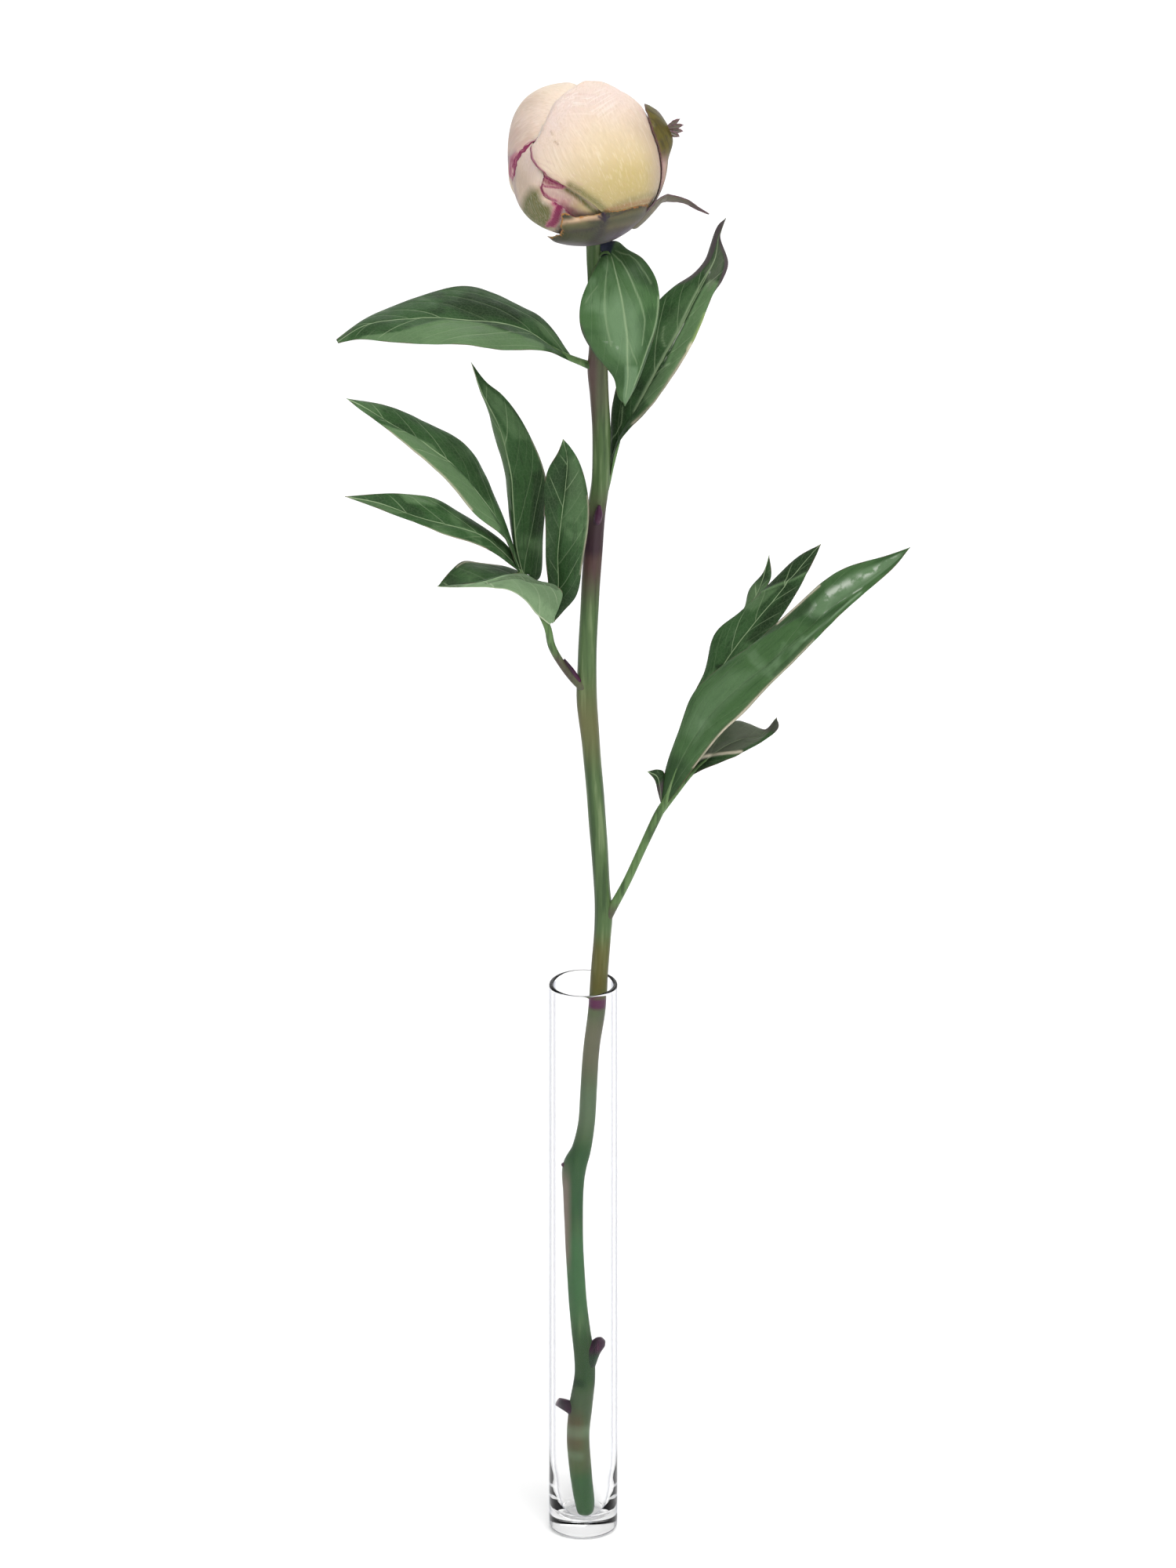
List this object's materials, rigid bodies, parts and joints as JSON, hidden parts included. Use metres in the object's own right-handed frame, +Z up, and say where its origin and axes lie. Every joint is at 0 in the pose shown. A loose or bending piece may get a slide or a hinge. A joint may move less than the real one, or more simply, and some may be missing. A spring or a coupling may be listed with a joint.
{
  "type": "peony in a bud vase",
  "caption": "A cut peony in tight bud on a long leafy stem, standing in a plain clear glass tube vase that holds no water.",
  "frame": {"origin": "the middle of the vase's flat foot, on the surface that it stands on", "axes": "+Z up along the vase, +X to the right and +Y away from the viewer in the view the part was made from"},
  "size_m": [0.2102, 0.0631, 0.5777],
  "materials": {
    "glass": "polished",
    "stem": "fresh green stem, matt",
    "leaf": "fresh leaf, half gloss",
    "petal": "fresh petal, satin",
    "sepal": "fresh sepal, matt"
  },
  "bodies": {
    "root": {"vase": "glass", "stem": "stem", "leaf_top_left": "leaf", "leaf_top_front": "leaf", "leaf_top_right": "leaf", "leaf_left": "leaf", "leaf_right": "leaf", "bud_heart": "petal", "petal_front": "petal", "petal_left": "petal", "petal_low_left": "petal", "petal_low_front": "petal", "petal_right": "petal", "petal_low_back": "petal", "sepal_front": "sepal", "sepal_right": "sepal", "bract": "sepal", "sepal_back": "sepal"}
  },
  "joints": []
}
